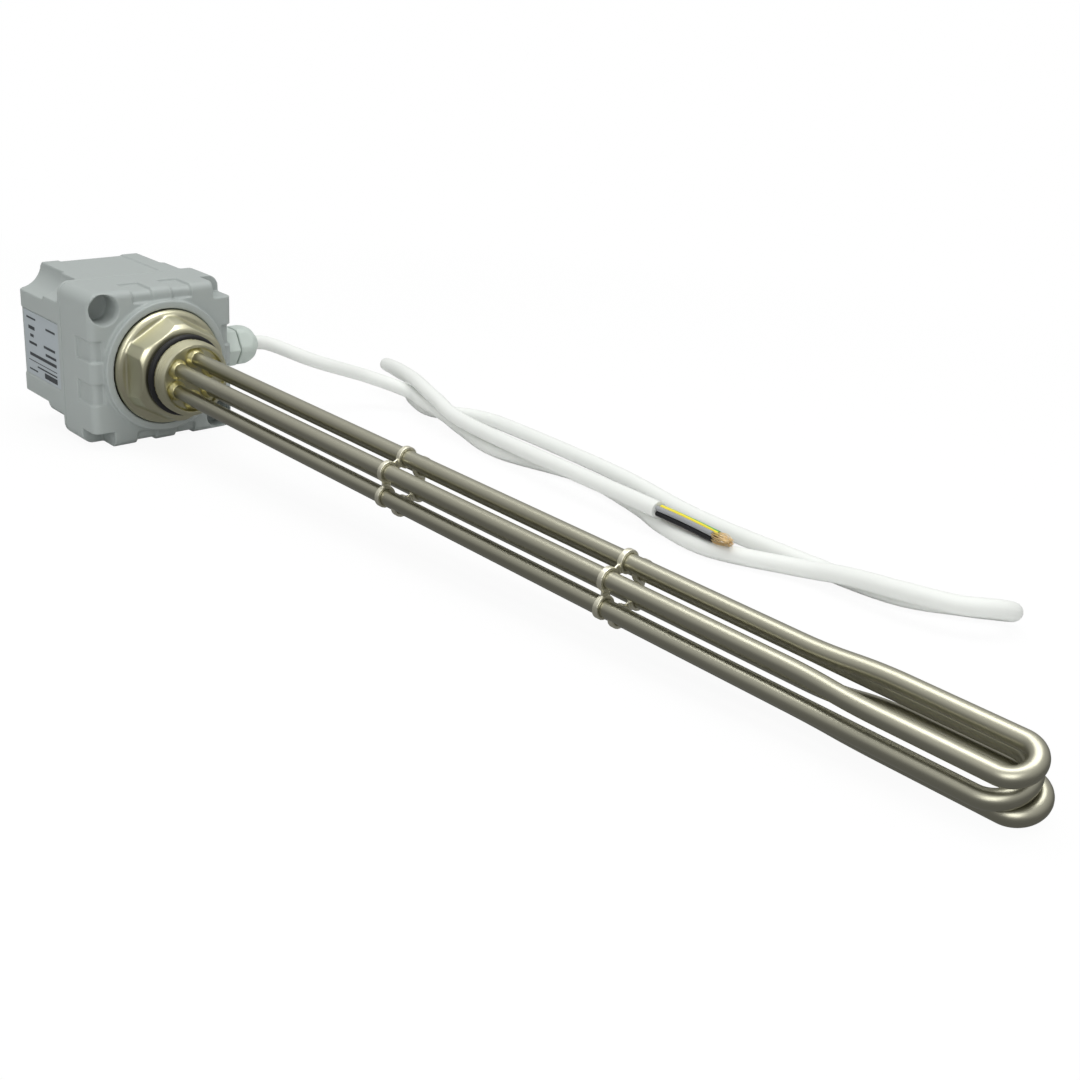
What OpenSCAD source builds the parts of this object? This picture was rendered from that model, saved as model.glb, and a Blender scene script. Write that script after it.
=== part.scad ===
// Screw plug immersion heater: three hairpin elements on a threaded plug, with terminal box, gland and cord.
// Millimetres. X runs along the plug axis towards the element tips, Y towards the gland, Z up.
// The origin is on the plug axis where the free thread starts, just past the seal ring.

/* [Plug] */
// Outside diameter of the plug thread
thread_d = 47.8; // [46:0.1:52]
// Length of the full thread
thread_len = 8; // [6:0.5:14]
// Section of the seal ring
seal_d = 4.6; // [3:0.1:6]
// Hexagon across flats
hex_af = 59; // [54:0.5:62]
// Hexagon length
hex_len = 16; // [10:0.5:24]
// Flange diameter
flange_d = 74; // [70:0.5:78]
// Flange thickness
flange_t = 5.5; // [4:0.5:8]

/* [Elements] */
// Tube diameter of the elements
tube_d = 8.5; // [7.5:0.1:9.5]
// Radius of the circle the six legs stand on
leg_r = 13.5; // [13:0.1:14]
// Turn of the leg circle about the plug axis
leg_turn = 25; // [0:1:50]
// Start of the bends that spread the outer hairpins
spread_x = 475; // [300:1:484]
// Length of these bends
spread_len = 48; // [40:1:72]
// Tip of the middle hairpin, on its centre line
tip_x = 579.4; // [572:0.2:700]
// Position of the first spacer plate
spacer_x1 = 218; // [60:1:260]
// Position of the second spacer plate
spacer_x2 = 378; // [280:1:460]

/* [Terminal box] */
// Width and height of the box
box_w = 100.5; // [96:0.5:104]
// Depth of the base
base_len = 39; // [36:0.5:48]
// Depth of the cover
cover_len = 58; // [50:0.5:80]
// Wall thickness
wall = 3; // [2:0.1:4]

/* [Cord] */
// Cord diameter
cord_d = 9.6; // [8:0.1:10.4]
// Diameter of one core
core_d = 2.9; // [2.4:0.1:3]
// Nose-down tilt at which the heater rests on a table
rest_tilt = 3.2; // [2:0.01:5]
// Height of the table under the plug axis at the seal face
rest_drop = 48.64; // [46:0.01:60]

/* [Hidden] */
$fn = 64;
hex_x1 = -seal_d;
hex_x0 = hex_x1 - hex_len;
flange_x0 = hex_x0 - flange_t;
gasket_t = 1.5;
seat_x = flange_x0 - gasket_t;
front_x = seat_x - 1;
inner_x = seat_x - 4;
base_x0 = front_x - base_len;
cover_x1 = base_x0 - 0.1;
cover_x0 = cover_x1 - cover_len;
half = box_w / 2;
arm = 28;
corner_r = 8;
front_r = 5;
rear_r = 3;
recess = 1.2;
boss_d = 85;
side_w = 0.45 * box_w;
label_w = side_w - 2.225;
cut_y = 14;
cut_z = 11;
cut_x = 17;
screw_c = arm + 6.25;
bore_c = half - 10.3;
pocket = 1.7;
ear_x = cover_x1 - 2.9;
screw_x = cover_x1 - 12;
spigot_d = 44;
spigot_x0 = inner_x - 8;
hex_draft = 9;
dish_x = thread_len - 1.6;
end_x = thread_len + 1.4;
tube_x0 = spigot_x0 + 3.6;
tube_bore = tube_d - 1.6;
coil_d = 3.5;
pin_d = 3.3;
cold_x = 60;
seal_x0 = tube_x0 - 5;
nut_t = 2.4;
washer_t = 0.6;
tag_t = 1;
tag_x1 = seal_x0 - 6;
tag_x0 = tag_x1 - tag_t;
pin_x0 = tag_x0 - washer_t - nut_t - 3;
pillar_x0 = pin_x0 - 2;
gland_nut_af = 27;
gland_x = inner_x - gland_nut_af / 2 / cos(30) - 0.41;
cord_y = half + 28;
tail_y = half - 15;
box_grey = [0.80, 0.81, 0.80];
nickel = [0.66, 0.64, 0.56];
steel = [0.45, 0.44, 0.39];
brass = [0.78, 0.62, 0.28];
black = [0.05, 0.05, 0.05];

powder = [0.9, 0.88, 0.82];
wire_metal = [0.55, 0.50, 0.45];

// spread hairpins: leg number, half width, height and tip of the bend
top_bend = [1, 9.2, 12.4, tip_x + 3];
low_bend = [5, 9.5, -8.8, tip_x + 4.2];

// route of the cord on the table, from the gland to the cut end of its sheath
gland_fl = on_table([gland_x, cord_y, 0]);
route = [gland_fl, gland_fl + [3, 12, -2.5], [-19, 114, 37], [-7, 151, 23], [18, 168.5, 14.5], [38, 165, 12.5],
    [64, 163.5, 8.5], [92, 156.5, 6], [140, 144, 5.2], [207, 151.5, 5.2], [267, 137, 5.2], [302, 123, 5.2],
    [340, 116.5, 5.2], [388, 129, 6.5], [420, 129, 11.5], [452, 127.5, 14.6], [478, 132.5, 15], [492, 143, 14.7],
    [495.5, 152.5, 12], [492, 160.5, 8], [484, 162.5, 5.4], [469, 153.5, 5.2], [438, 139.5, 5.2], [376, 142, 5.2],
    [302, 150, 5.2], [220, 171, 5.2], [113, 186.5, 5.2], [72, 187, 5.2], [40, 172, 5.2], [10, 180, 5.2],
    [-10, 192, 5.8], [-25, 204.5, 9], [-34.5, 201.5, 13], [-36.5, 193.5, 18.5], [-31, 186.5, 22], [-8, 179.5, 24],
    [24, 169.5, 24], [61, 157.5, 20.5], [115, 145, 15.2], [299, 120.5, 14.8]];
core_green = [[299.8, 122, 16.3], [314, 120.6, 16.2], [329, 119, 15.8], [345, 117.4, 15]];
core_grey = [[299.5, 118.9, 16.3], [314, 117.5, 16.1], [329, 115.9, 15.6], [343, 114.4, 14.9]];
core_black = [[299.5, 118.9, 13.3], [314, 117.5, 13], [329, 115.9, 12.5], [343, 114.4, 11.8]];
core_brown = [[299.8, 122, 13.3], [314, 120.6, 13.1], [329, 119, 12.7], [345, 117.4, 12]];

// inner wires, from their lug to the end of the cord tail
wire_brown = [lug_pt(1, 18.6), lug_pt(1, 24), lug_pt(1, 28), [-54, 6, 35], [-66, 14, 33], [-70, tail_y - 12, 24],
    [-62, tail_y - 9, 13], [-50, tail_y - 7, 5], [gland_x + 1.6, tail_y - 3, 1.6], [gland_x + 1.6, tail_y, 1.6]];
wire_black = [lug_pt(0, 18.6), lug_pt(0, 24), lug_pt(0, 27), [-54, tail_y - 7, 15], [-65, tail_y - 5, 12],
    [-67, tail_y - 5, 5], [-57, tail_y - 6, 2.4], [gland_x - 1.6, tail_y - 3, 1.6], [gland_x - 1.6, tail_y, 1.6]];
wire_grey = [lug_pt(5, 18.6), lug_pt(5, 24), lug_pt(5, 27), [-55, tail_y - 8, -19], [-65, tail_y - 6, -16],
    [-67, tail_y - 6, -8], [-57, tail_y - 6, -2.6], [gland_x - 1.6, tail_y - 3, -1.6],
    [gland_x - 1.6, tail_y, -1.6]];
wire_earth = [[pillar_x0 - 0.5, 5.1, 0], [pillar_x0 - 0.5, 11, 0], [pillar_x0 - 0.5, 14, 0], [-60, tail_y - 15, -3],
    [-54, tail_y - 10, -5], [-48, tail_y - 6, -3.4], [gland_x + 1.6, tail_y - 3, -1.6],
    [gland_x + 1.6, tail_y, -1.6]];

// position of a point in table coordinates: along the table, across it, above it
function on_table(p) = let (a = p[0] - hex_x1, b = p[2] + rest_drop, c = cos(rest_tilt), s = sin(rest_tilt))
    [a * c + b * s, p[1], b * c - a * s];
function lug_pt(k, d) = let (a = leg_turn + 60 * k) [(tag_x0 + tag_x1) / 2, d * cos(a), d * sin(a)];
function unit(v) = v / norm(v);
function between(p, q, r, s, t) = 0.5 * (2 * q + (r - p) * t + (2 * p - 5 * q + 4 * r - s) * t * t
    + (3 * q - p - 3 * r + s) * t * t * t);
function smooth(p, k) = let (m = len(p) - 1) concat([for (i = [0:m - 1], j = [0:k - 1])
    between(i > 0 ? p[i - 1] : 2 * p[0] - p[1], p[i], p[i + 1], i < m - 1 ? p[i + 2] : 2 * p[m] - p[m - 1], j / k)],
    [p[m]]);
function headings(q) = let (m = len(q) - 1)
    [for (i = [0:m]) unit(q[min(i + 1, m)] - q[max(i - 1, 0)])];
function square_to(v, t) = unit(v - (v * t) * t);

function swing(t) = t < 0.5 ? 2 * t * t : 1 - 2 * (1 - t) * (1 - t);
function half_pin(b, x0) = let (e = leg_r * cos(60 * b[0]), n = leg_r * sin(60 * b[0])) concat([[x0, e, n]],
    [for (t = [0:0.125:1]) [spread_x + t * spread_len, e + swing(t) * (b[1] - e), n + swing(t) * (b[2] - n)]]);
function pin_path(b, x0) = let (p = half_pin(b, x0), m = len(p)) concat(p,
    [for (a = [90:-15:-90]) [b[3] - b[1] + b[1] * cos(a), b[1] * sin(a), b[2]]],
    [for (i = [m - 1:-1:0]) [p[i][0], -p[i][1], p[i][2]]]);

module sweep(p, d, k, sides) {
    q = smooth(p, k);
    m = len(q);
    t = headings(q);
    first = abs(t[0][2]) < 0.8 ? [0, 0, 1] : [1, 0, 0];
    u = [for (i = 0, v = square_to(first, t[0]); i < m; i = i + 1,
        v = i < m ? square_to(v, t[i]) : v) v];
    pts = [for (i = [0:m - 1], j = [0:sides - 1]) let (a = 360 * j / sides)
        q[i] + d / 2 * (cos(a) * u[i] + sin(a) * cross(t[i], u[i]))];
    sides_f = [for (i = [0:m - 2], j = [0:sides - 1]) let (b = (j + 1) % sides)
        each [[i * sides + j, (i + 1) * sides + b, i * sides + b],
            [i * sides + j, (i + 1) * sides + j, (i + 1) * sides + b]]];
    caps = [[for (j = [0:sides - 1]) j], [for (j = [sides - 1:-1:0]) (m - 1) * sides + j]];
    polyhedron(points = pts, faces = concat(sides_f, caps));
}

module on_rest() {
    translate([hex_x1, 0, -rest_drop]) rotate([0, -rest_tilt, 0]) children();
}

module along_x(x) {
    translate([x, 0, 0]) rotate([0, 90, 0]) children();
}

module along_y(y) {
    translate([gland_x, y, 0]) rotate([-90, 0, 0]) children();
}

module prism_x(x0, x1) {
    translate([x0, 0, 0]) rotate([90, 0, 90]) linear_extrude(x1 - x0) children();
}

module ring(d1, d2, h) {
    difference() {
        cylinder(d = d1, h = h);
        translate([0, 0, -1]) cylinder(d = d2, h = h + 2);
    }
}

module rounded_square(w, r) {
    square([w - 2 * r, w], center = true);
    square([w, w - 2 * r], center = true);
    for (a = [-1, 1], b = [-1, 1]) translate([a * (w / 2 - r), b * (w / 2 - r)]) circle(r);
}

// side outline of a block from x0 to x1 with its edges at x1 rounded
module side_outline(x0, x1, b, r) {
    f = x1 > x0 ? 1 : -1;
    n = abs(x1 - x0);
    translate([x0, 0]) mirror([f > 0 ? 0 : 1, 0]) {
        translate([0, -b]) square([n - r, 2 * b]);
        translate([0, r - b]) square([n, 2 * b - 2 * r]);
        for (s = [-1, 1]) translate([n - r, s * (b - r)]) circle(r);
    }
}

module block(x0, x1, r) {
    intersection() {
        prism_x(min(x0, x1), max(x0, x1)) rounded_square(box_w, corner_r);
        rotate([90, 0, 0]) linear_extrude(box_w + 2, center = true) side_outline(x0, x1, half, r);
        linear_extrude(box_w + 2, center = true) side_outline(x0, x1, half, r);
    }
}

module cross_shape(a, b) {
    square([2 * a, 2 * b], center = true);
    square([2 * b, 2 * a], center = true);
}

module each_side() {
    for (a = [0:90:270]) rotate([a, 0, 0]) children();
}

module at_leg(k) {
    rotate([leg_turn + 60 * k, 0, 0]) translate([0, leg_r, 0]) children();
}

// round channel along one corner of the cover, narrower near the joint and ending at a thin ear
module corner_channel() {
    along_x(0) rotate_extrude() polygon([[0, cover_x0 - 1], [16, cover_x0 - 1], [16, ear_x - 21], [13.5, ear_x - 20],
        [13.5, ear_x - 1], [12.5, ear_x], [0, ear_x]]);
}

module each_channel() {
    each_side() translate([0, half, half]) rotate([135, 0, 0]) corner_channel();
}

module each_screw() {
    each_side() translate([0, screw_c, screw_c]) children();
}

module housing_base() color(box_grey) difference() {
    union() {
        block(base_x0, front_x, front_r);
        along_x(front_x - front_r) cylinder(d = boss_d, h = front_r + 4.5);
    }
    prism_x(base_x0 - 1, inner_x) cross_shape(half - wall, arm);
    along_x(seat_x) cylinder(d = flange_d + 1.2, h = 20);
    along_x(inner_x - 1) cylinder(d = spigot_d + 0.4, h = 20);
    prism_x(base_x0 - 1, base_x0 + 0.9) cross_shape(half - 1.2, arm + 1.8);
    each_side() for (s = [-1, 1]) translate([0, s * 13.75, 0]) rotate([90, 0, 0])
        linear_extrude(13.5, center = true) difference() {
            translate([front_x - 20, half - 8.4]) square([22, 10]);
            side_outline(base_x0, front_x - pocket, half - pocket, front_r - pocket);
        }
    for (s = [-1, 1]) translate([0, -s * bore_c, s * bore_c]) {
        along_x(front_x - 15) cylinder(r = 9, h = 40);
        along_x(front_x - 3) cylinder(r1 = 9, r2 = 10.2, h = 3.5);
    }
    each_screw() along_x(base_x0 - 1) cylinder(d = 4.1, h = 14);
    for (a = [0, 180]) rotate([a, 0, 0]) translate([front_x - cut_x, half - cut_y, half - cut_z])
        cube([cut_x + 1, cut_y + 1, cut_z + 1]);
    along_y(arm) cylinder(d = 20.2, h = 40);
}

module housing_cover() color(box_grey) difference() {
    block(cover_x1, cover_x0, rear_r);
    prism_x(cover_x0 + wall, cover_x1 + 1) cross_shape(half - wall, arm);
    each_side() translate([cover_x0 - 1, -side_w / 2, half - recess])
        cube([cover_len - 4, side_w, 10]);
    each_channel();
    each_screw() {
        along_x(cover_x0 - 1) cylinder(d = 8.2, h = screw_x - cover_x0 + 1);
        along_x(screw_x - 1) cylinder(d = 4.4, h = 20);
    }
}

module cover_gasket() color(black) prism_x(cover_x1 + 0.02, base_x0 + 0.88) difference() {
    cross_shape(half - 1.25, arm + 1.75);
    cross_shape(half - wall + 0.02, arm + 0.02);
}

module cover_screws() color(steel) each_screw() {
    along_x(screw_x - 3.22) difference() {
        cylinder(d = 7.6, h = 3.2);
        translate([-0.6, -5, -1]) cube([1.2, 10, 2.2]);
    }
    along_x(screw_x - 0.03) cylinder(d = 4, h = 23);
}

module rating_label() color([0.75, 0.77, 0.80])
    translate([cover_x0 + rear_r + 0.5, -half + recess - 0.42, -label_w / 2])
        cube([cover_len - rear_r - 6.5, 0.4, label_w]);

module plug_body() color(nickel) difference() {
    union() {
        along_x(0) rotate_extrude() polygon([[0, spigot_x0], [spigot_d / 2, spigot_x0], [spigot_d / 2, flange_x0],
            [flange_d / 2 - 1, flange_x0], [flange_d / 2, flange_x0 + 1], [flange_d / 2, hex_x0 - 2.5],
            [flange_d / 2 - 1, hex_x0 - 0.8], [flange_d / 2 - 3, hex_x0 + 0.3], [24, hex_x0 + 0.3], [24, hex_x1],
            [thread_d / 2 - 2.35, hex_x1], [thread_d / 2 - 2.35, 0], [thread_d / 2, 0],
            [thread_d / 2, thread_len], [thread_d / 2 - 1.5, end_x], [0, end_x]]);
        intersection() {
            along_x(0) rotate_extrude() polygon([[0, hex_x0 - 1], [hex_af / 2 + 4.7, hex_x0 - 1],
                [hex_af / 2 + 2, hex_x1 - 3], [hex_af / 2 - 0.5, hex_x1 - 0.6], [hex_af / 2 - 2, hex_x1 + 0.001],
                [0, hex_x1 + 0.001]]);
            intersection_for(a = [0:60:300]) rotate([a + 30, 0, 0]) translate([hex_x0, 0, hex_af / 2 + 1.5])
                rotate([0, hex_draft, 0]) translate([-60, -60, -100]) cube([120, 120, 100]);
        }
    }
    along_x(dish_x) cylinder(r = 20.3, h = 20);
    along_x(spigot_x0 - 1) cylinder(r = 18.5, h = flange_x0 - spigot_x0);
    for (k = [0:5]) at_leg(k) along_x(spigot_x0) cylinder(d = tube_d + 0.06, h = end_x - spigot_x0);
    along_x(flange_x0 - 2) cylinder(d = 4.06, h = 10);
}

module plug_o_ring() color(black)
    along_x(hex_x1 / 2) rotate_extrude() translate([thread_d / 2, 0]) circle(d = seal_d - 0.06);

module plug_gasket() color(black) along_x(seat_x + 0.02) ring(flange_d - 0.4, spigot_d + 0.1, gasket_t - 0.04);

module plug_lock_nut() color(nickel) along_x(inner_x - 6.02) difference() {
    cylinder(d = 54 / cos(30), h = 6, $fn = 6);
    translate([0, 0, -1]) cylinder(d = spigot_d + 0.06, h = 10);
}

module braze_collars() color(brass) for (k = [0:5]) at_leg(k) along_x(dish_x + 0.02) rotate_extrude()
    polygon([[tube_d / 2 + 0.04, 0], [tube_d / 2 + 2.3, 0], [tube_d / 2 + 1.9, 1.4], [tube_d / 2 + 1, 3],
        [tube_d / 2 + 0.4, 4.6], [tube_d / 2 + 0.04, 4.6]]);

// rod along the straight middle hairpin
module mid_rod(d, x0) {
    rotate([leg_turn, 0, 0]) {
        for (s = [-1, 1]) translate([0, s * leg_r, 0]) along_x(x0) cylinder(d = d, h = tip_x - leg_r - x0);
        translate([tip_x - leg_r, 0, 0]) rotate([0, 0, -90]) rotate_extrude(angle = 180)
            translate([leg_r, 0]) circle(d = d);
    }
}

// tube along a spread hairpin: b holds leg number, half width, height and tip of its bend
module spread_tube(b, d, bore, x0) {
    p = pin_path(b, x0);
    m = len(p);
    n = 16;
    t = headings(p);
    u = [for (i = 0, v = [0, 0, 1]; i < m; i = i + 1, v = i < m ? square_to(v, t[i]) : v) square_to(v, t[i])];
    pts = [for (w = [d, bore], i = [0:m - 1], j = [0:n - 1]) let (a = 360 * j / n)
        p[i] + w / 2 * (cos(a) * u[i] + sin(a) * cross(t[i], u[i]))];
    k = m * n;
    skin = [for (i = [0:m - 2], j = [0:n - 1]) let (f = i * n + j, g = i * n + (j + 1) % n)
        each [[f, g + n, g], [f, f + n, g + n], [k + f, k + g, k + g + n], [k + f, k + g + n, k + f + n]]];
    z = k - n;
    ends = [for (j = [0:n - 1]) let (g = (j + 1) % n)
        each [[j, g, k + g], [j, k + g, k + j], [z + j, k + z + g, z + g], [z + j, k + z + j, k + z + g]]];
    rotate([leg_turn, 0, 0]) polyhedron(points = pts, faces = concat(skin, ends));
}

module spread_element(b) color(steel) spread_tube(b, tube_d, tube_bore, tube_x0);
module spread_filling(b) color(powder) spread_tube(b, tube_bore - 0.06, coil_d, tube_x0 + 0.5);
module spread_coil(b) color(wire_metal) spread_tube(b, coil_d - 0.06, coil_d - 1, cold_x);

module element_middle() color(steel) difference() {
    mid_rod(tube_d, tube_x0);
    mid_rod(tube_bore, tube_x0 - 1);
}

module filling_middle() color(powder) difference() {
    mid_rod(tube_bore - 0.06, tube_x0 + 0.5);
    mid_rod(coil_d, tube_x0 - 1);
}

module coil_middle() color(wire_metal) difference() {
    mid_rod(coil_d - 0.06, cold_x);
    mid_rod(coil_d - 1, cold_x - 1);
}

module end_seals() color([0.7, 0.25, 0.15])
    for (k = [0:5]) at_leg(k) along_x(seal_x0) ring(tube_d - 0.3, pin_d + 0.06, tube_x0 - seal_x0 - 0.04);

module terminal_pins() color(steel)
    for (k = [0:5]) at_leg(k) along_x(pin_x0) cylinder(d = pin_d, h = cold_x - 0.1 - pin_x0);

module terminal_nuts() color(brass) for (k = [0:5]) at_leg(k) {
    along_x(tag_x1 + washer_t + 0.04) hex_nut();
    along_x(tag_x0 - washer_t - nut_t - 0.04) hex_nut();
}

module hex_nut() {
    difference() {
        cylinder(d = 5.5 / cos(30), h = nut_t, $fn = 6);
        translate([0, 0, -1]) cylinder(d = pin_d + 0.06, h = nut_t + 2);
    }
}

module terminal_washers() color(nickel) for (k = [0:5]) at_leg(k) {
    along_x(tag_x1 + 0.02) ring(7, pin_d + 0.06, washer_t);
    along_x(tag_x0 - washer_t - 0.02) ring(7, pin_d + 0.06, washer_t);
}

module star_bridge() color(brass) rotate([leg_turn, 0, 0]) prism_x(tag_x0, tag_x1) difference() {
    circle(d = 2 * leg_r + 8);
    circle(d = 2 * leg_r - 8);
    translate([-2.8, -40]) square([80, 80]);
    for (k = [2:4]) translate([leg_r * cos(60 * k), leg_r * sin(60 * k)]) circle(d = pin_d + 0.2);
}

module lug() {
    difference() {
        union() {
            along_x(0) cylinder(d = 7, h = tag_t);
            translate([0, 0, -1.5]) cube([tag_t, 6, 3]);
            translate([tag_t / 2, 5, 0]) rotate([-90, 0, 0]) cylinder(d = core_d + 1.5, h = 6);
        }
        along_x(-1) cylinder(d = pin_d + 0.2, h = tag_t + 2);
        translate([tag_t / 2, 5.05, 0]) rotate([-90, 0, 0]) cylinder(d = core_d + 0.3, h = 7);
    }
}

module ring_lugs() color([0.7, 0.7, 0.68]) {
    for (k = [0, 1, 5]) at_leg(k) translate([tag_x0, 0, 0]) lug();
    translate([pillar_x0 - 1, 0, 0]) lug();
}

module earth_pillar() color(brass) difference() {
    union() {
        along_x(pillar_x0 + 0.02) cylinder(d = 7 / cos(30), h = flange_x0 - 1.04 - pillar_x0, $fn = 6);
        along_x(flange_x0 - 1.5) cylinder(d = 4, h = 9);
    }
    along_x(pillar_x0 - 1) cylinder(d = 3.06, h = 10);
}

module earth_screw() color(nickel) {
    along_x(pillar_x0 - 3.44) difference() {
        cylinder(d = 6, h = 2.4);
        translate([-3, -0.4, -1]) cube([6, 0.8, 2]);
    }
    along_x(pillar_x0 - 1.1) cylinder(d = 3, h = 8);
}

module spacer_plate(x) color([0.72, 0.70, 0.60]) rotate([leg_turn, 0, 0]) difference() {
    union() {
        prism_x(x - 0.6, x + 0.6) difference() {
            circle(r = leg_r + 1);
            circle(r = leg_r - 4.5);
        }
        each_eye() along_x(x - 1.5) cylinder(d = tube_d + 3.4, h = 3);
    }
    each_eye() along_x(x - 5) cylinder(d = tube_d + 0.06, h = 10);
}

module each_eye() {
    for (k = [0:5]) rotate([60 * k, 0, 0]) translate([0, leg_r, 0]) children();
}

module gland_body() color([0.82, 0.84, 0.80]) difference() {
    union() {
        along_y(half - 11) cylinder(d = 19.8, h = 12.5);
        along_y(half + 1.02) cylinder(d = 24 / cos(30), h = 8.9, $fn = 6);
        along_y(half + 8) cylinder(d = 19.8, h = 12);
    }
    along_y(half - 20) cylinder(d = cord_d + 1, h = 60);
    along_y(half + 12) cylinder(d = 15, h = 20);
}

module gland_washer() color(black) along_y(half + 0.02) ring(25, 20, 0.96);

module gland_lock_nut() color([0.82, 0.84, 0.80]) along_y(half - wall - 5.02) difference() {
    cylinder(d = gland_nut_af / cos(30), h = 5, $fn = 6);
    translate([0, 0, -1]) cylinder(d = 19.86, h = 10);
}

module gland_seal() color(black) along_y(half + 12.02) ring(14.9, cord_d + 0.06, 11);

module gland_dome_nut() color([0.82, 0.84, 0.80]) along_y(0) difference() {
    intersection() {
        rotate_extrude() polygon([[0, half + 10.8], [13.2, half + 10.8], [13.2, half + 18], [12.2, half + 21],
            [10.6, half + 24], [8.6, half + 25.6], [6.8, half + 26], [6.2, cord_y], [0, cord_y]]);
        translate([0, 0, half]) cylinder(d = 24.6 / cos(30), h = 60, $fn = 6);
    }
    translate([0, 0, half]) cylinder(d = 19.86, h = 20.2);
    translate([0, 0, half + 19]) cylinder(d = 15.2, h = 4.2);
    translate([0, 0, half + 20]) cylinder(d = cord_d + 0.6, h = 20);
}

module cord_tail() color([0.93, 0.93, 0.91])
    along_y(tail_y + 0.4) cylinder(d = cord_d, h = cord_y - tail_y - 1.8);

module power_cord() color([0.93, 0.93, 0.91]) on_rest() sweep(route, cord_d, 2, 10);

module copper_strands() color([0.80, 0.55, 0.25]) on_rest()
    for (p = [core_green, core_grey, core_black, core_brown])
        sweep([p[3] + [0.1, 0, 0], p[3] + [6, -1, 0], p[3] + [13, -2, 0]], 2, 1, 8);

housing_base();
housing_cover();
cover_gasket();
cover_screws();
rating_label();
plug_body();
plug_o_ring();
plug_gasket();
plug_lock_nut();
braze_collars();
spread_element(top_bend);  // element_top
element_middle();
spread_element(low_bend);  // element_bottom
spread_filling(top_bend);  // filling_top
filling_middle();
spread_filling(low_bend);  // filling_bottom
spread_coil(top_bend);  // coil_top
coil_middle();
spread_coil(low_bend);  // coil_bottom
end_seals();
terminal_pins();
terminal_nuts();
terminal_washers();
star_bridge();
ring_lugs();
earth_pillar();
earth_screw();
color([0.35, 0.2, 0.12]) sweep(wire_brown, core_d, 3, 8);  // inner_wire_brown
color(black) sweep(wire_black, core_d, 3, 8);  // inner_wire_black
color([0.5, 0.5, 0.5]) sweep(wire_grey, core_d, 3, 8);  // inner_wire_grey
color([0.5, 0.7, 0.1]) sweep(wire_earth, core_d, 3, 8);  // inner_wire_earth
spacer_plate(spacer_x1);  // spacer_plate_1
spacer_plate(spacer_x2);  // spacer_plate_2
gland_body();
gland_washer();
gland_lock_nut();
gland_seal();
gland_dome_nut();
cord_tail();
power_cord();
color([0.5, 0.7, 0.1]) on_rest() sweep(core_green, core_d, 2, 8);  // end_core_green
color([0.5, 0.5, 0.5]) on_rest() sweep(core_grey, core_d, 2, 8);  // end_core_grey
color(black) on_rest() sweep(core_black, core_d, 2, 8);  // end_core_black
color([0.35, 0.2, 0.12]) on_rest() sweep(core_brown, core_d, 2, 8);  // end_core_brown
copper_strands();
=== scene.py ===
import math
import random

import bmesh
import bpy
from mathutils import Matrix, Vector


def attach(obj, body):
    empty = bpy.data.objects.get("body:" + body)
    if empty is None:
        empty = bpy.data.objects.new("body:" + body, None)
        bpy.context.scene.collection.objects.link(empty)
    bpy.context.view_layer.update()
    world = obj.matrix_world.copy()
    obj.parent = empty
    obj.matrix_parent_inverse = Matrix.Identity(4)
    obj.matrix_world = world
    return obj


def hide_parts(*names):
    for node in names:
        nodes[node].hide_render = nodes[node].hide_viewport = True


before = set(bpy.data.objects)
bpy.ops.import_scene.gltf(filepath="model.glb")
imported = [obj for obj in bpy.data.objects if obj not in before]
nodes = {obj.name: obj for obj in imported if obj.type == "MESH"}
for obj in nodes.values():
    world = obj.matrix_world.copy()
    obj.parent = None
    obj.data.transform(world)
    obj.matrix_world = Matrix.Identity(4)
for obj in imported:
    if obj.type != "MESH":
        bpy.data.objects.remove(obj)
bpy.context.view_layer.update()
scene = bpy.context.scene
scene.view_settings.view_transform = "Standard"
mm = 0.001
axisX = Vector((1, 0, 0))
print("frame loaded:", len(nodes), "nodes")

# the table that the heater rests on, nose down
table = {
    "tilt": 3.2,  # degrees
    "drop": 48.64,  # mm under the plug axis, at the seal face
    "sealFace": -4.6,  # mm along the plug axis
}
onTable = Matrix.Translation(Vector((table["sealFace"], 0, -table["drop"])) * mm) @ Matrix.Rotation(
    -math.radians(table["tilt"]), 4, "Y"
)


def tablePoint(point):
    return onTable @ (Vector(point) * mm)


# camera
view = {
    "eye": (756.9, -437.2, 265.2),  # mm
    "target": (327.4, -4.9, 7.0),  # mm
    "roll": 0.08044,  # radians
    "focal": 1400.0,  # pixels
    "picture": 1080.0,  # pixels
    "sensor": 36.0,
    "clip": (0.01, 200.0),
}


def placeCamera():
    data = bpy.data.cameras.new("camera")
    data.sensor_width = view["sensor"]
    data.lens = view["focal"] * view["sensor"] / view["picture"]
    data.clip_start, data.clip_end = view["clip"]
    eye = Vector(view["eye"]) * mm
    ahead = (Vector(view["target"]) * mm - eye).normalized()
    side = ahead.cross(Vector((0, 0, 1))).normalized()
    up = side.cross(ahead)
    turn = Matrix.Rotation(view["roll"], 3, -ahead)
    side, up = turn @ side, turn @ up
    camera = bpy.data.objects.new("camera", data)
    camera.matrix_world = Matrix.Translation(eye) @ Matrix((side, up, -ahead)).transposed().to_4x4()
    scene.collection.objects.link(camera)
    scene.camera = camera


placeCamera()
print("camera placed")


# materials
def rgb(red, green, blue):
    return (red, green, blue, 1.0)


class Value:
    def __init__(self, finish, socket):
        self.finish = finish
        self.socket = socket

    def maths(self, operation, first, second):
        return self.finish.add("ShaderNodeMath", {"operation": operation}, {0: first, 1: second})

    def __add__(self, other):
        return self.maths("ADD", self, other)

    def __radd__(self, other):
        return self.maths("ADD", other, self)

    def __mul__(self, other):
        return self.maths("MULTIPLY", self, other)

    def __rmul__(self, other):
        return self.maths("MULTIPLY", other, self)

    def __gt__(self, other):
        return self.maths("GREATER_THAN", self, other)


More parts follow.
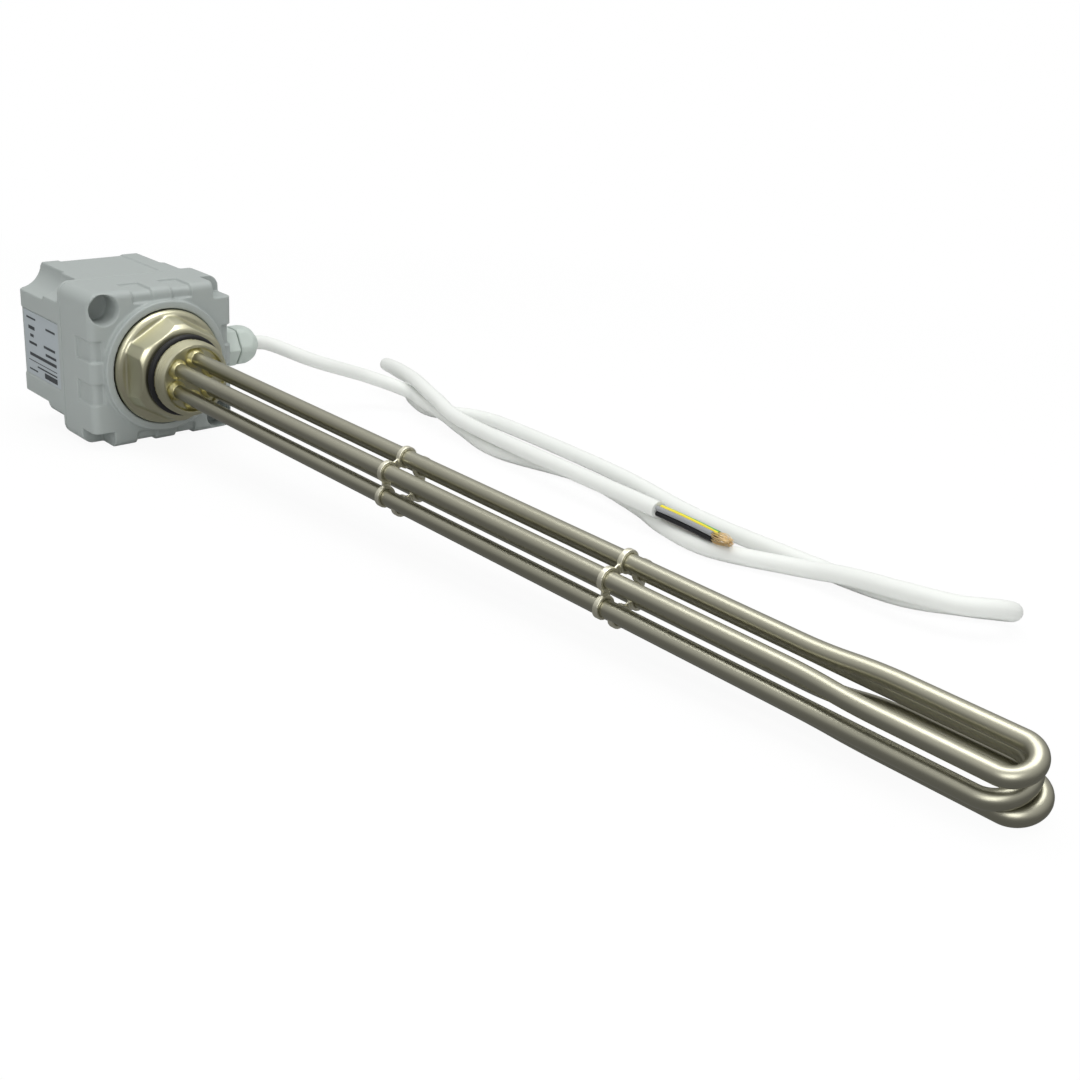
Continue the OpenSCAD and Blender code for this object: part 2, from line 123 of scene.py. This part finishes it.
class Finish:
    def __init__(self, owner, outputKind="ShaderNodeOutputMaterial"):
        owner.use_nodes = True
        self.owner = owner
        self.tree = owner.node_tree
        self.tree.nodes.clear()
        self.output = self.tree.nodes.new(outputKind)

    def add(self, kind, settings=None, inputs=None, out=0):
        node = self.tree.nodes.new(kind)
        for key, value in (settings or {}).items():
            if key == "greyStops":
                for stop, (place, level) in zip(node.color_ramp.elements, value):
                    stop.position, stop.color = place, rgb(level, level, level)
            else:
                setattr(node, key, value)
        for key, value in (inputs or {}).items():
            if isinstance(value, Value):
                self.tree.links.new(value.socket, node.inputs[key])
            else:
                node.inputs[key].default_value = value
        return Value(self, node.outputs[out])

    def where(self):
        return self.add("ShaderNodeTexCoord", out="Object")

    def noise(self, scale, detail, stretch=(1, 1, 1), rough=0.5):
        stretched = self.add("ShaderNodeMapping", {}, {"Vector": self.where(), "Scale": stretch})
        inputs = {"Vector": stretched, "Scale": scale, "Detail": detail, "Roughness": rough}
        return self.add("ShaderNodeTexNoise", {}, inputs)

    def mix(self, amount, first, second):
        inputs = {"Factor": amount, "A": first, "B": second}
        return self.add("ShaderNodeMix", {"data_type": "RGBA"}, inputs, out="Result")

    def bump(self, height, strength, distance):
        inputs = {"Height": height, "Strength": strength, "Distance": distance}
        return self.add("ShaderNodeBump", {}, inputs, out="Normal")

    def show(self, shader):
        self.tree.links.new(shader.socket, self.output.inputs["Surface"])
        return self.owner

    def close(self, **sockets):
        inputs = {key.replace("_", " "): value for key, value in sockets.items()}
        return self.show(self.add("ShaderNodeBsdfPrincipled", {}, inputs))


def newFinish(name):
    return Finish(bpy.data.materials.new(name))


# finishes: cloud, streak and grain are texture scales, and the depth of the bump is in m
moulded = {
    "cloud": 18.0,
    "grain": 900.0,
    "detail": 2.0,
    "shade": 0.965,
    "uneven": 0.08,
    "bump": 0.08,
    "depth": 0.0003,
}


def mouldedPlastic(name, color, rough):
    finish = newFinish(name)
    cloud = finish.noise(moulded["cloud"], moulded["detail"])
    grain = finish.noise(moulded["grain"], moulded["detail"])
    shaded = [part * moulded["shade"] for part in color]
    return finish.close(
        Base_Color=finish.mix(cloud, rgb(*shaded), rgb(*color)),
        Roughness=rough + moulded["uneven"] * grain,
        Normal=finish.bump(grain, moulded["bump"], moulded["depth"]),
    )


drawn = {
    "streak": 140.0,
    "streakStretch": (0.05, 1, 1),
    "cloud": 22.0,
    "cloudStretch": (0.35, 1, 1),
    "cloudRough": 0.6,
    "detail": 4.0,
    "uneven": 0.14,
    "bump": 0.06,
    "depth": 0.0004,
}


def drawnSteel(name, color, dark, rough):
    finish = newFinish(name)
    streak = finish.noise(drawn["streak"], drawn["detail"], drawn["streakStretch"])
    cloud = finish.noise(drawn["cloud"], drawn["detail"], drawn["cloudStretch"], drawn["cloudRough"])
    return finish.close(
        Base_Color=finish.mix(cloud, rgb(*dark), rgb(*color)),
        Metallic=1.0,
        Roughness=rough + drawn["uneven"] * streak,
        Normal=finish.bump(streak, drawn["bump"], drawn["depth"]),
    )


plated = {
    "cloud": 60.0,
    "cloudDetail": 4.0,
    "cloudRough": 0.6,
    "grain": 700.0,
    "grainDetail": 2.0,
    "uneven": 0.12,
    "bump": 0.05,
    "depth": 0.0003,
}


def platedMetal(name, color, dark, rough):
    finish = newFinish(name)
    cloud = finish.noise(plated["cloud"], plated["cloudDetail"], rough=plated["cloudRough"])
    grain = finish.noise(plated["grain"], plated["grainDetail"])
    return finish.close(
        Base_Color=finish.mix(cloud, rgb(*dark), rgb(*color)),
        Metallic=1.0,
        Roughness=rough + plated["uneven"] * cloud,
        Normal=finish.bump(grain, plated["bump"], plated["depth"]),
    )


rubber = {"grain": 500.0, "detail": 3.0, "uneven": 0.1, "bump": 0.05, "depth": 0.0003, "shine": 0.3}


def softRubber(name, color, rough):
    finish = newFinish(name)
    grain = finish.noise(rubber["grain"], rubber["detail"])
    return finish.close(
        Base_Color=rgb(*color),
        Roughness=rough + rubber["uneven"] * grain,
        Normal=finish.bump(grain, rubber["bump"], rubber["depth"]),
        Specular_IOR_Level=rubber["shine"],
    )


# a core in two colours: the line between them crosses it slowly along its length
stripe = {"slope": 0.1256, "line": 159.2, "rough": 0.4}  # line in mm across the part


def coreStripe(name, first, second):
    finish = newFinish(name)
    where = finish.where()
    along = finish.add("ShaderNodeSeparateXYZ", {}, {0: where}, out="X")
    across = finish.add("ShaderNodeSeparateXYZ", {}, {0: where}, out="Y")
    split = (across + stripe["slope"] * along) > stripe["line"] * mm
    return finish.close(
        Base_Color=finish.mix(split, rgb(*first), rgb(*second)),
        Roughness=stripe["rough"],
    )


boxGrey = mouldedPlastic("box_grey", (0.345, 0.378, 0.365), 0.42)
glandGrey = mouldedPlastic("gland_grey", (0.50, 0.56, 0.52), 0.4)
cordWhite = mouldedPlastic("cord_white", (0.76, 0.78, 0.75), 0.5)
tubeSteel = drawnSteel("tube_steel", (0.50, 0.49, 0.395), (0.38, 0.37, 0.285), 0.29)
plugNickel = platedMetal("plug_nickel", (0.73, 0.71, 0.53), (0.60, 0.58, 0.40), 0.31)
spacerNickel = platedMetal("spacer_nickel", (0.90, 0.88, 0.74), (0.82, 0.79, 0.62), 0.34)
brazeGold = platedMetal("braze_gold", (0.88, 0.84, 0.56), (0.78, 0.72, 0.38), 0.36)
zincScrew = platedMetal("zinc_screw", (0.62, 0.62, 0.62), (0.5, 0.5, 0.5), 0.3)
copperBare = platedMetal("copper_bare", (1.0, 0.84, 0.50), (0.88, 0.62, 0.30), 0.4)
labelFoil = mouldedPlastic("label_foil", (0.37, 0.41, 0.43), 0.35)
labelInk = softRubber("label_ink", (0.05, 0.055, 0.06), 0.5)
sealBlack = softRubber("seal_black", (0.012, 0.012, 0.013), 0.45)
coreGrey = softRubber("core_grey", (0.30, 0.31, 0.32), 0.4)
coreBlack = softRubber("core_black", (0.015, 0.015, 0.017), 0.4)
coreBrown = softRubber("core_brown", (0.18, 0.09, 0.045), 0.4)
coreGreen = coreStripe("core_green", (0.80, 0.68, 0.04), (0.12, 0.36, 0.06))
powderWhite = softRubber("powder_white", (0.75, 0.73, 0.68), 0.7)
sealRed = softRubber("seal_red", (0.45, 0.12, 0.07), 0.5)
print("materials ready")

# meshes in general
meshing = {
    "weld": 2e-6,  # m, closer points become one
    "crease": 35,  # degrees, edges that turn more stay sharp
    "smoothing": 0.5,
}


def addPiece(name, data, finish, slotName, *replaced):
    data.materials.append(finish)
    piece = bpy.data.objects.new(name, data)
    scene.collection.objects.link(piece)
    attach(piece, "root")
    if replaced:
        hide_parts(*replaced)
    return piece


def newMesh(name, bm):
    data = bpy.data.meshes.new(name)
    bm.to_mesh(data)
    bm.free()
    return data


def shadeEdges(data, crease):
    data.shade_smooth()
    data.set_sharp_from_angle(angle=math.radians(crease))


def addMesh(name, bm, finish, slotName, *replaced):
    bmesh.ops.remove_doubles(bm, verts=bm.verts, dist=meshing["weld"])
    bmesh.ops.recalc_face_normals(bm, faces=bm.faces)
    data = newMesh(name, bm)
    shadeEdges(data, meshing["crease"])
    return addPiece(name, data, finish, slotName, *replaced)


# a moulded or cast piece: the solid's own shape with its edges softened, on a grain in mm
def softPiece(name, nodeName, grain, rounds, finish, slotName, keep=1.0):
    bm = bmesh.new()
    bm.from_mesh(nodes[nodeName].data)
    bmesh.ops.remove_doubles(bm, verts=bm.verts, dist=meshing["weld"])
    piece = addPiece(name, newMesh(name, bm), finish, slotName, nodeName)
    remesh = piece.modifiers.new("remesh", "REMESH")
    remesh.mode = "VOXEL"
    remesh.voxel_size = grain * mm
    soften = piece.modifiers.new("soften", "SMOOTH")
    soften.factor = meshing["smoothing"]
    soften.iterations = rounds
    if keep < 1:
        piece.modifiers.new("thin", "DECIMATE").ratio = keep
    ready = piece.evaluated_get(bpy.context.evaluated_depsgraph_get())
    final = bpy.data.meshes.new_from_object(ready)
    piece.modifiers.clear()
    piece.data = final
    final.shade_smooth()
    return piece


# supply cord: sizes in mm, and its route along, across and above the table
cord = {
    "diameter": 9.6,
    "core": 2.9,
    "length": 1.54,  # m
    "exit": (-47.6, 78.25, 0.0),
    "fine": 6,
    "coreFine": 5,
    "roundness": 6,
}
cordRoute = [
    (-40.2, 78.25, 51), (-37.2, 90.25, 48.5), (-19, 114, 37), (-7, 151, 23), (18, 168.5, 14.5),
    (38, 165, 12.5), (64, 163.5, 8.5), (92, 156.5, 6), (140, 144, 5.2), (207, 151.5, 5.2),
    (267, 137, 5.2), (302, 123, 5.2), (340, 116.5, 5.2), (388, 129, 6.5), (420, 129, 11.5),
    (452, 127.5, 14.6), (478, 132.5, 15), (492, 143, 14.7), (495.5, 152.5, 12), (492, 160.5, 8),
    (484, 162.5, 5.4), (469, 153.5, 5.2), (438, 139.5, 5.2), (376, 142, 5.2), (302, 150, 5.2),
    (220, 171, 5.2), (113, 186.5, 5.2), (72, 187, 5.2), (40, 172, 5.2), (10, 180, 5.2),
    (-10, 192, 5.8), (-25, 204.5, 9), (-34.5, 201.5, 13), (-36.5, 193.5, 18.5), (-31, 186.5, 22),
    (-8, 179.5, 24), (24, 169.5, 24), (61, 157.5, 20.5), (115, 145, 15.2), (299, 120.5, 14.8),
]
coreRoutes = {
    "green": [(299.8, 122, 16.3), (314, 120.6, 16.2), (329, 119, 15.8), (345, 117.4, 15)],
    "grey": [(299.5, 118.9, 16.3), (314, 117.5, 16.1), (329, 115.9, 15.6), (343, 114.4, 14.9)],
    "black": [(299.5, 118.9, 13.3), (314, 117.5, 13), (329, 115.9, 12.5), (343, 114.4, 11.8)],
    "brown": [(299.8, 122, 13.3), (314, 120.6, 13.1), (329, 119, 12.7), (345, 117.4, 12)],
}
coreFinishes = {"green": coreGreen, "grey": coreGrey, "black": coreBlack, "brown": coreBrown}

# bare strands of each core, in mm: a round bundle that bows at random and gathers towards the others
strand = {
    "count": 12,
    "diameter": 0.3,
    "roundness": 2,
    "seed": 4,
    "swirl": 2.4,  # radians from one strand to the next
    "bundle": 1.2,
    "inside": 1.0,
    "halfWay": (4.5, -0.7, 0),
    "bow": 1.1,
    "reach": (9.5, 13),
    "drift": (-2.2, -1.2),
    "gather": 0.45,
    "fan": 1.3,
    "fine": 4,
}


# a smooth line through every point
def smoothLine(points, fine):
    p = [Vector(point) for point in points]
    p = [2 * p[0] - p[1]] + p + [2 * p[-1] - p[-2]]
    line = []
    for a, b, c, d in zip(p, p[1:], p[2:], p[3:]):
        for t in (i / fine for i in range(fine)):
            square = (2 * a - 5 * b + 4 * c - d) * t**2
            cube = (3 * b - a - 3 * c + d) * t**3
            line.append(0.5 * (2 * b + (c - a) * t + square + cube))
    return line + [p[-2]]


def layLine(points, fine):
    return [tablePoint(point) for point in smoothLine(points, fine)]


def addCurve(name, lines, size, roundness, finish, slotName, *replaced):
    data = bpy.data.curves.new(name, "CURVE")
    data.dimensions = "3D"
    data.bevel_depth = size * mm / 2
    data.bevel_resolution = roundness
    data.use_fill_caps = True
    for line in lines:
        spline = data.splines.new("POLY")
        spline.points.add(len(line) - 1)
        for point, place in zip(spline.points, line):
            point.co = (*place, 1.0)
        spline.use_smooth = True
    return addPiece(name, data, finish, slotName, *replaced)


def strandLines():
    random.seed(strand["seed"])
    tips = [Vector(route[-1]) for route in coreRoutes.values()]
    middle = sum(tips, Vector()) / len(tips)
    lines = []
    for tip in tips:
        for i in range(strand["count"]):
            turn = strand["swirl"] * i
            out = strand["bundle"] * math.sqrt(i / strand["count"])
            shift = Vector((0, math.cos(turn), math.sin(turn))) * out
            bow = Vector([random.uniform(-strand["bow"], strand["bow"]) for _ in range(3)])
            reach = Vector((random.uniform(*strand["reach"]), random.uniform(*strand["drift"]), 0))
            first = tip + shift - strand["inside"] * axisX
            half = tip + Vector(strand["halfWay"]) + shift + bow
            last = middle + strand["gather"] * (tip - middle) + reach + strand["fan"] * shift
            lines.append(layLine([first, half, last], strand["fine"]))
    return lines


def layCord():
    line = layLine(cordRoute, cord["fine"])
    roundness = cord["roundness"]
    sheath = addCurve(
        "supply_cord", [line], cord["diameter"], roundness, cordWhite, "cord_white", "power_cord"
    )
    length = sum((b - a).length for a, b in zip(line, line[1:]))
    print("cord length", round(length, 3))
    for color, route in coreRoutes.items():
        core = layLine(route, cord["coreFine"])
        slotName, nodeName = f"core_{color}", f"end_core_{color}"
        finish = coreFinishes[color]
        addCurve(f"core_end_{color}", [core], cord["core"], roundness, finish, slotName, nodeName)
    size, roundness = strand["diameter"], strand["roundness"]
    addCurve("strand_ends", strandLines(), size, roundness, copperBare, "copper", "copper_strands")


layCord()
print("cord laid")

# heating elements: sizes in mm; each bend has leg angle, half width, height and tip
elements = {
    "tube": 8.5,
    "sides": 32,
    "legCircle": 13.5,
    "turn": 25.0,
    "start": -36.0,
    "spreadStart": 475.0,
    "spreadLength": 48.0,
    "spreadSteps": 8,
    "leastShift": 1e-6,
    "bendSteps": 36,
    "bends": {
        "top": (60, 9.2, 12.4, 582.4),
        "middle": (0, 13.5, 0.0, 579.4),
        "bottom": (-60, 9.5, -8.8, 583.6),
    },
}
legTurn = Matrix.Rotation(math.radians(elements["turn"]), 3, "X")


# a tube's skin, drawn along its path from an open ring
class TubeWalk:
    def __init__(self, bm, start, heading, size, sides):
        self.bm, self.spot, self.heading = bm, start, heading
        facing = heading.to_track_quat("Z", "Y").to_matrix().to_4x4()
        made = bmesh.ops.create_circle(
            bm, segments=sides, radius=size / 2, matrix=Matrix.Translation(start) @ facing
        )
        self.edges = list({edge for vert in made["verts"] for edge in vert.link_edges})

    def straight(self, length):
        made = bmesh.ops.extrude_edge_only(self.bm, edges=self.edges)["geom"]
        verts = [part for part in made if isinstance(part, bmesh.types.BMVert)]
        edges = [part for part in made if isinstance(part, bmesh.types.BMEdge)]
        bmesh.ops.translate(self.bm, verts=verts, vec=self.heading * length)
        self.edges = [edge for edge in edges if all(vert in verts for vert in edge.verts)]
        self.spot = self.spot + self.heading * length

    def turn(self, towards, radius, angle, steps):
        axis = self.heading.cross(towards).normalized()
        center = self.spot + towards * radius
        made = bmesh.ops.spin(
            self.bm, geom=self.edges, cent=center, axis=axis, angle=angle, steps=steps, use_merge=False
        )["geom_last"]
        self.edges = [part for part in made if isinstance(part, bmesh.types.BMEdge)]
        swing = Matrix.Rotation(angle, 3, axis)
        self.spot = center + swing @ (self.spot - center)
        self.heading = swing @ self.heading

    def sideStep(self, shift, length, steps):
        if shift.length < elements["leastShift"]:
            self.straight(length)
            return
        towards = shift.normalized()
        angle = 2 * math.atan(shift.length / length)
        radius = length / (2 * math.sin(angle))
        axis = self.heading.cross(towards).normalized()
        self.turn(towards, radius, angle, steps)
        self.turn(-axis.cross(self.heading), radius, angle, steps)


def bendElement(name, bend):
    angle, width, height, tip = bend
    legAngle = math.radians(angle)
    leg = Vector((0, math.cos(legAngle), math.sin(legAngle))) * elements["legCircle"]
    shift = Vector((0, width, height)) - leg
    shiftBack = Vector((0, shift.y, -shift.z))
    legLength = elements["spreadStart"] - elements["start"]
    endLength = tip - width - elements["spreadStart"] - elements["spreadLength"]
    spread = (elements["spreadLength"], elements["spreadSteps"])
    bm = bmesh.new()
    start = leg + elements["start"] * axisX
    walk = TubeWalk(bm, start, axisX.copy(), elements["tube"], elements["sides"])
    walk.straight(legLength)
    walk.sideStep(shift, *spread)
    walk.straight(endLength)
    walk.turn(Vector((0, -1, 0)), width, math.pi, elements["bendSteps"])
    walk.straight(endLength)
    walk.sideStep(shiftBack, *spread)
    walk.straight(legLength)
    bmesh.ops.holes_fill(bm, edges=[edge for edge in bm.edges if edge.is_boundary], sides=0)
    bmesh.ops.transform(bm, matrix=Matrix.Scale(mm, 4) @ legTurn.to_4x4(), verts=bm.verts)
    addMesh(f"heating_tube_{name}", bm, tubeSteel, "steel", f"element_{name}")


for name, bend in elements["bends"].items():
    bendElement(name, bend)
print("elements bent")

# terminal box: grain of each half in mm, and the share of faces that is kept
box = {"grain": {"base": 0.6, "cover": 0.65}, "rounds": 3, "keep": 0.3}
for half, grain in box["grain"].items():
    softPiece(f"box_{half}", f"housing_{half}", grain, box["rounds"], boxGrey, "box_plastic", box["keep"])
print("box moulded")

# plug: the solid's shape turned down to the root of its thread, which is one helical ridge; sizes in mm
plug = {
    "grain": 0.55,
    "rounds": 4,
    "threadFrom": 0.1,
    "crest": 23.9,
    "root": 22.42,
    "pitch": 2.309,
    "crestFlat": (0.44, 0.56),  # shares of the pitch
    "sunk": 0.2,
    "turns": 3.35,
    "steps": 96,  # in each turn
    "crease": 38,  # degrees
}


def threadRidge():
    pitch, root, crest = plug["pitch"], plug["root"] - plug["sunk"], plug["crest"]
    rise, fall = (share * pitch for share in plug["crestFlat"])
    section = [(0.0, root), (rise, crest), (fall, crest), (pitch, root)]
    bm = bmesh.new()
    verts = [bm.verts.new(Vector((along - plug["sunk"], 0, radius)) * mm) for along, radius in section]
    edges = [bm.edges.new(pair) for pair in zip(verts, verts[1:])]
    bmesh.ops.spin(
        bm,
        geom=verts + edges,
        cent=(0, 0, 0),
        axis=axisX,
        dvec=axisX * pitch * mm / plug["steps"],
        angle=2 * math.pi * plug["turns"],
        steps=int(plug["steps"] * plug["turns"]),
    )
    bmesh.ops.recalc_face_normals(bm, faces=bm.faces)
    return newMesh("thread_ridge", bm)


def cutThread(piece):
    bm = bmesh.new()
    bm.from_mesh(piece.data)
    for vert in bm.verts:
        around = Vector((0, vert.co.y, vert.co.z))
        if vert.co.x > plug["threadFrom"] * mm and around.length > plug["root"] * mm:
            vert.co = Vector((vert.co.x, 0, 0)) + around.normalized() * plug["root"] * mm
    bm.from_mesh(threadRidge())
    bm.to_mesh(piece.data)
    bm.free()
    shadeEdges(piece.data, plug["crease"])


cutThread(softPiece("plug_casting", "plug_body", plug["grain"], plug["rounds"], plugNickel, "nickel"))

# seal ring: a round section spun about the plug axis, in mm
sealRing = {"along": -2.3, "radius": 23.9, "sectionRadius": 2.28, "sides": 24, "steps": 128}


def turnSealRing():
    bm = bmesh.new()
    middle = Vector((sealRing["along"], 0, sealRing["radius"]))
    verts = []
    for i in range(sealRing["sides"] + 1):
        turn = 2 * math.pi * i / sealRing["sides"]
        out = Vector((math.cos(turn), 0, math.sin(turn))) * sealRing["sectionRadius"]
        verts.append(bm.verts.new((middle + out) * mm))
    edges = [bm.edges.new(pair) for pair in zip(verts, verts[1:])]
    bmesh.ops.spin(
        bm,
        geom=verts + edges,
        cent=(0, 0, 0),
        axis=axisX,
        angle=2 * math.pi,
        steps=sealRing["steps"],
        use_merge=True,
    )
    addMesh("seal_ring", bm, sealBlack, "rubber", "plug_o_ring")


turnSealRing()

braze = {"grain": 0.4, "rounds": 5}
softPiece("braze_fillets", "braze_collars", braze["grain"], braze["rounds"], brazeGold, "brass")

spacer = {"grain": 0.35, "rounds": 3}
for place, nodeName in {"plug": "spacer_plate_1", "tips": "spacer_plate_2"}.items():
    softPiece(f"spacer_near_{place}", nodeName, spacer["grain"], spacer["rounds"], spacerNickel, "nickel")
print("plug turned")

# small pieces keep their solids
smallPieces = {
    "cover_gasket": sealBlack,
    "cover_screws": zincScrew,
    "rating_label": labelFoil,
    "plug_gasket": sealBlack,
    "plug_lock_nut": plugNickel,
    "filling_top": powderWhite,
    "filling_middle": powderWhite,
    "filling_bottom": powderWhite,
    "coil_top": zincScrew,
    "coil_middle": zincScrew,
    "coil_bottom": zincScrew,
    "end_seals": sealRed,
    "terminal_pins": zincScrew,
    "terminal_nuts": brazeGold,
    "terminal_washers": zincScrew,
    "star_bridge": brazeGold,
    "ring_lugs": zincScrew,
    "earth_pillar": brazeGold,
    "earth_screw": zincScrew,
    "inner_wire_brown": coreBrown,
    "inner_wire_black": coreBlack,
    "inner_wire_grey": coreGrey,
    "inner_wire_earth": coreGreen,
    "gland_washer": sealBlack,
    "gland_lock_nut": glandGrey,
    "gland_seal": sealBlack,
    "cord_tail": cordWhite,
}
for nodeName, finish in smallPieces.items():
    data = nodes[nodeName].data
    data.materials.clear()
    data.materials.append(finish)

gland = {"grain": 0.5, "bodyRounds": 3, "domeRounds": 4}
softPiece("gland_hexagon", "gland_body", gland["grain"], gland["bodyRounds"], glandGrey, "gland_plastic")
softPiece("gland_dome", "gland_dome_nut", gland["grain"], gland["domeRounds"], glandGrey, "gland_plastic")
print("small pieces finished")

# label: plain bars, in mm from its lower rear corner, as place and size
label = {
    "corner": (-122.2, -49.47, -21.5),
    "thickness": 0.06,
    "bars": [
        (4, 38, 13, 1.3), (31, 35, 13, 1.5), (6, 31, 9, 2.4), (8, 26, 5, 2), (27, 22.5, 16, 1.8),
        (6, 21, 11, 1.8), (29, 17.5, 15, 1.8), (6, 13, 38, 2.2), (4, 9.5, 40, 0.6), (16, 6.5, 28, 1.1),
        (4, 3, 12, 1.1), (26, 1.8, 18, 3.6),
    ],
}


def markLabel():
    bm = bmesh.new()
    for along, up, width, height in label["bars"]:
        center = Vector(label["corner"]) + Vector((along + width / 2, 0, up + height / 2))
        size = Vector((width, label["thickness"], height)) * mm
        shape = Matrix.Translation(center * mm) @ Matrix.Diagonal((*size, 1))
        bmesh.ops.create_cube(bm, size=1, matrix=shape)
    addMesh("label_marks", bm, labelInk, None)


markLabel()
print("label marked")

# floor and light: sizes and places in m
studio = {
    "floor": 12.0,
    "floorColor": 0.86,
    "glow": 0.93,  # of the floor near the part, 1 further off
    "fade": (0.45, 0.9),
    "mirror": 0.2,  # of the floor as the part reflects it
    "sky": 0.8,
    "skyStops": ((0.0, 0.35), (0.9, 1.0)),
    "lamps": {  # place, aim, size and watts
        "top_soft": ((0.2, 0.15, 1.5), (0.25, 0.05, 0.0), (1.6, 0.8), 14.0),
        "front_soft": ((0.9, -1.2, 0.9), (0.1, 0.0, 0.0), (0.8, 0.8), 7.0),
    },
}


def tableWhite():
    finish = newFinish("table_white")
    seen = finish.add("ShaderNodeLightPath", out="Is Camera Ray")
    mirrored = finish.add("ShaderNodeLightPath", out="Is Glossy Ray")
    away = finish.add("ShaderNodeVectorMath", {"operation": "LENGTH"}, {0: finish.where()}, out="Value")
    near, far = studio["fade"]
    span = {"Value": away, "From Min": near, "From Max": far, "To Min": studio["glow"], "To Max": 1.0}
    fade = finish.add("ShaderNodeMapRange", {}, span)
    matt = finish.add("ShaderNodeBsdfDiffuse", {}, {"Color": rgb(*[studio["floorColor"]] * 3)})
    shade = finish.mix(mirrored, rgb(1, 1, 1), rgb(*[studio["mirror"]] * 3))
    glow = finish.add("ShaderNodeEmission", {}, {"Color": shade, "Strength": 1.0})
    both = finish.add("ShaderNodeMixShader", {}, {0: seen * fade + mirrored, 1: matt, 2: glow})
    return finish.show(both)


def layFloor():
    bm = bmesh.new()
    bmesh.ops.create_grid(bm, x_segments=1, y_segments=1, size=studio["floor"])
    bmesh.ops.transform(bm, matrix=onTable, verts=bm.verts)
    data = newMesh("table_top", bm)
    data.materials.append(tableWhite())
    floor = bpy.data.objects.new("table_top", data)
    scene.collection.objects.link(floor)


# the camera sees plain white, and the part a sky that is brighter overhead
def lightSky():
    scene.world = bpy.data.worlds.new("studio")
    sky = Finish(scene.world, "ShaderNodeOutputWorld")
    facing = sky.add("ShaderNodeTexCoord", out="Generated")
    height = sky.add("ShaderNodeSeparateXYZ", {}, {0: facing}, out="Z")
    shade = sky.add("ShaderNodeValToRGB", {"greyStops": studio["skyStops"]}, {0: height})
    soft = sky.add("ShaderNodeBackground", {}, {"Color": shade, "Strength": studio["sky"]})
    white = sky.add("ShaderNodeBackground", {}, {"Color": rgb(1, 1, 1), "Strength": 1.0})
    seen = sky.add("ShaderNodeLightPath", out="Is Camera Ray")
    sky.show(sky.add("ShaderNodeMixShader", {}, {0: seen, 1: soft, 2: white}))


def addLamp(name, place, aim, size, power):
    data = bpy.data.lights.new(name, "AREA")
    data.shape = "RECTANGLE"
    data.size, data.size_y = size
    data.energy = power
    lamp = bpy.data.objects.new(name, data)
    lamp.location = place
    lamp.rotation_euler = (Vector(aim) - Vector(place)).to_track_quat("-Z", "Y").to_euler()
    scene.collection.objects.link(lamp)


layFloor()
lightSky()
for name, lamp in studio["lamps"].items():
    addLamp(name, *lamp)
print("studio lit")
